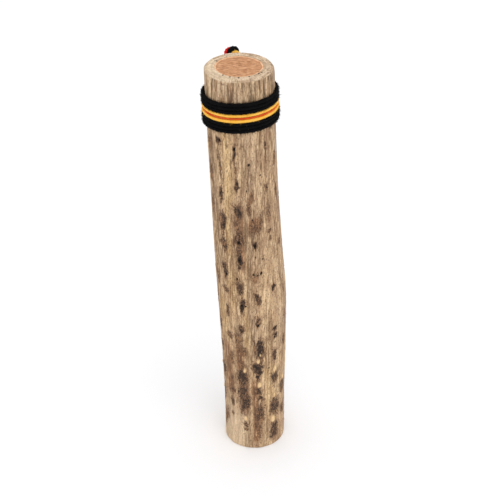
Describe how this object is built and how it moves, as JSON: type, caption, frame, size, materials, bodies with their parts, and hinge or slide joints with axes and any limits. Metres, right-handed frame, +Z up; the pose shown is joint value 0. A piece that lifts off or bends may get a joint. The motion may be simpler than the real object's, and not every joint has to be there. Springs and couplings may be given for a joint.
{
  "type": "rainstick",
  "caption": "Dried cactus stem plugged at both ends, with inner thorns and loose pebbles that trickle when it is turned over, a wound yarn band and a hanging loop.",
  "frame": {"origin": "centre of the flat foot, on the surface the stick stands on", "axes": "+Z up the stick, -Y to the front, +Y to the back where the hanging loop is; the stem leans about 2 degrees towards -X"},
  "size_m": [0.0577, 0.0573, 0.301],
  "materials": {
    "cactus_wood": "dry, fibrous, matt, with dark thorn scars",
    "plug_wood": "end grain, lightly stained, satin",
    "wood_glue": "dried wood glue and sawdust filler",
    "thorn": "hard, smooth, dark",
    "pebble": "water-worn stone",
    "black_yarn": "plied wool",
    "yellow_yarn": "plied wool",
    "red_yarn": "plied wool"
  },
  "bodies": {
    "stick": {"cactus_tube": "cactus_wood", "top_plug": "plug_wood", "foot_plug": "plug_wood", "top_glue_ring": "wood_glue", "foot_glue_ring": "wood_glue", "thorn_row_01": "thorn", "thorn_row_02": "thorn", "thorn_row_03": "thorn", "thorn_row_04": "thorn", "thorn_row_05": "thorn", "thorn_row_06": "thorn", "thorn_row_07": "thorn", "thorn_row_08": "thorn", "thorn_row_09": "thorn", "thorn_row_10": "thorn", "thorn_row_11": "thorn", "thorn_row_12": "thorn", "thorn_row_13": "thorn", "black_yarn_upper": "black_yarn", "yellow_yarn_upper": "yellow_yarn", "red_yarn": "red_yarn", "yellow_yarn_lower": "yellow_yarn", "black_yarn_lower": "black_yarn", "loop_keeper": "black_yarn"},
    "pebbles_01": {"pebbles_lane_01": "pebble"},
    "pebbles_02": {"pebbles_lane_02": "pebble"},
    "pebbles_03": {"pebbles_lane_03": "pebble"},
    "pebbles_04": {"pebbles_lane_04": "pebble"},
    "pebbles_05": {"pebbles_lane_05": "pebble"},
    "pebbles_06": {"pebbles_lane_06": "pebble"},
    "pebbles_07": {"pebbles_lane_07": "pebble"},
    "pebbles_08": {"pebbles_lane_08": "pebble"},
    "pebbles_09": {"pebbles_lane_09": "pebble"},
    "pebbles_10": {"pebbles_lane_10": "pebble"},
    "pebbles_11": {"pebbles_lane_11": "pebble"},
    "pebbles_12": {"pebbles_lane_12": "pebble"},
    "pebbles_13": {"pebbles_lane_13": "pebble"},
    "pebbles_core": {"pebbles_core": "pebble"},
    "hanging_loop": {"loop_strand_black": "black_yarn", "loop_strand_red": "red_yarn", "loop_strand_yellow": "yellow_yarn"}
  },
  "joints": [
    {"name": "lane_01_trickle", "type": "slide", "parent": "stick", "child": "pebbles_01", "axis": [-0.0383, 0, 0.9993], "range_m": [0, 0.2551]},
    {"name": "lane_02_trickle", "type": "slide", "parent": "stick", "child": "pebbles_02", "axis": [-0.0383, 0, 0.9993], "range_m": [0, 0.255]},
    {"name": "lane_03_trickle", "type": "slide", "parent": "stick", "child": "pebbles_03", "axis": [-0.0383, 0, 0.9993], "range_m": [0, 0.2563]},
    {"name": "lane_04_trickle", "type": "slide", "parent": "stick", "child": "pebbles_04", "axis": [-0.0383, 0, 0.9993], "range_m": [0, 0.2543]},
    {"name": "lane_05_trickle", "type": "slide", "parent": "stick", "child": "pebbles_05", "axis": [-0.0383, 0, 0.9993], "range_m": [0, 0.2542]},
    {"name": "lane_06_trickle", "type": "slide", "parent": "stick", "child": "pebbles_06", "axis": [-0.0383, 0, 0.9993], "range_m": [0, 0.2563]},
    {"name": "lane_07_trickle", "type": "slide", "parent": "stick", "child": "pebbles_07", "axis": [-0.0383, 0, 0.9993], "range_m": [0, 0.2544]},
    {"name": "lane_08_trickle", "type": "slide", "parent": "stick", "child": "pebbles_08", "axis": [-0.0383, 0, 0.9993], "range_m": [0, 0.2565]},
    {"name": "lane_09_trickle", "type": "slide", "parent": "stick", "child": "pebbles_09", "axis": [-0.0383, 0, 0.9993], "range_m": [0, 0.2545]},
    {"name": "lane_10_trickle", "type": "slide", "parent": "stick", "child": "pebbles_10", "axis": [-0.0383, 0, 0.9993], "range_m": [0, 0.2563]},
    {"name": "lane_11_trickle", "type": "slide", "parent": "stick", "child": "pebbles_11", "axis": [-0.0383, 0, 0.9993], "range_m": [0, 0.2565]},
    {"name": "lane_12_trickle", "type": "slide", "parent": "stick", "child": "pebbles_12", "axis": [-0.0383, 0, 0.9993], "range_m": [0, 0.2542]},
    {"name": "lane_13_trickle", "type": "slide", "parent": "stick", "child": "pebbles_13", "axis": [-0.0383, 0, 0.9993], "range_m": [0, 0.2546]},
    {"name": "core_trickle", "type": "slide", "parent": "stick", "child": "pebbles_core", "axis": [-0.0383, 0, 0.9993], "range_m": [0, 0.2561]},
    {"name": "loop_swing", "type": "hinge", "parent": "stick", "child": "hanging_loop", "pos_m": [-0.014, 0.02759, 0.27351], "axis": [-1, 0, 0], "range_deg": [0, 165]}
  ]
}
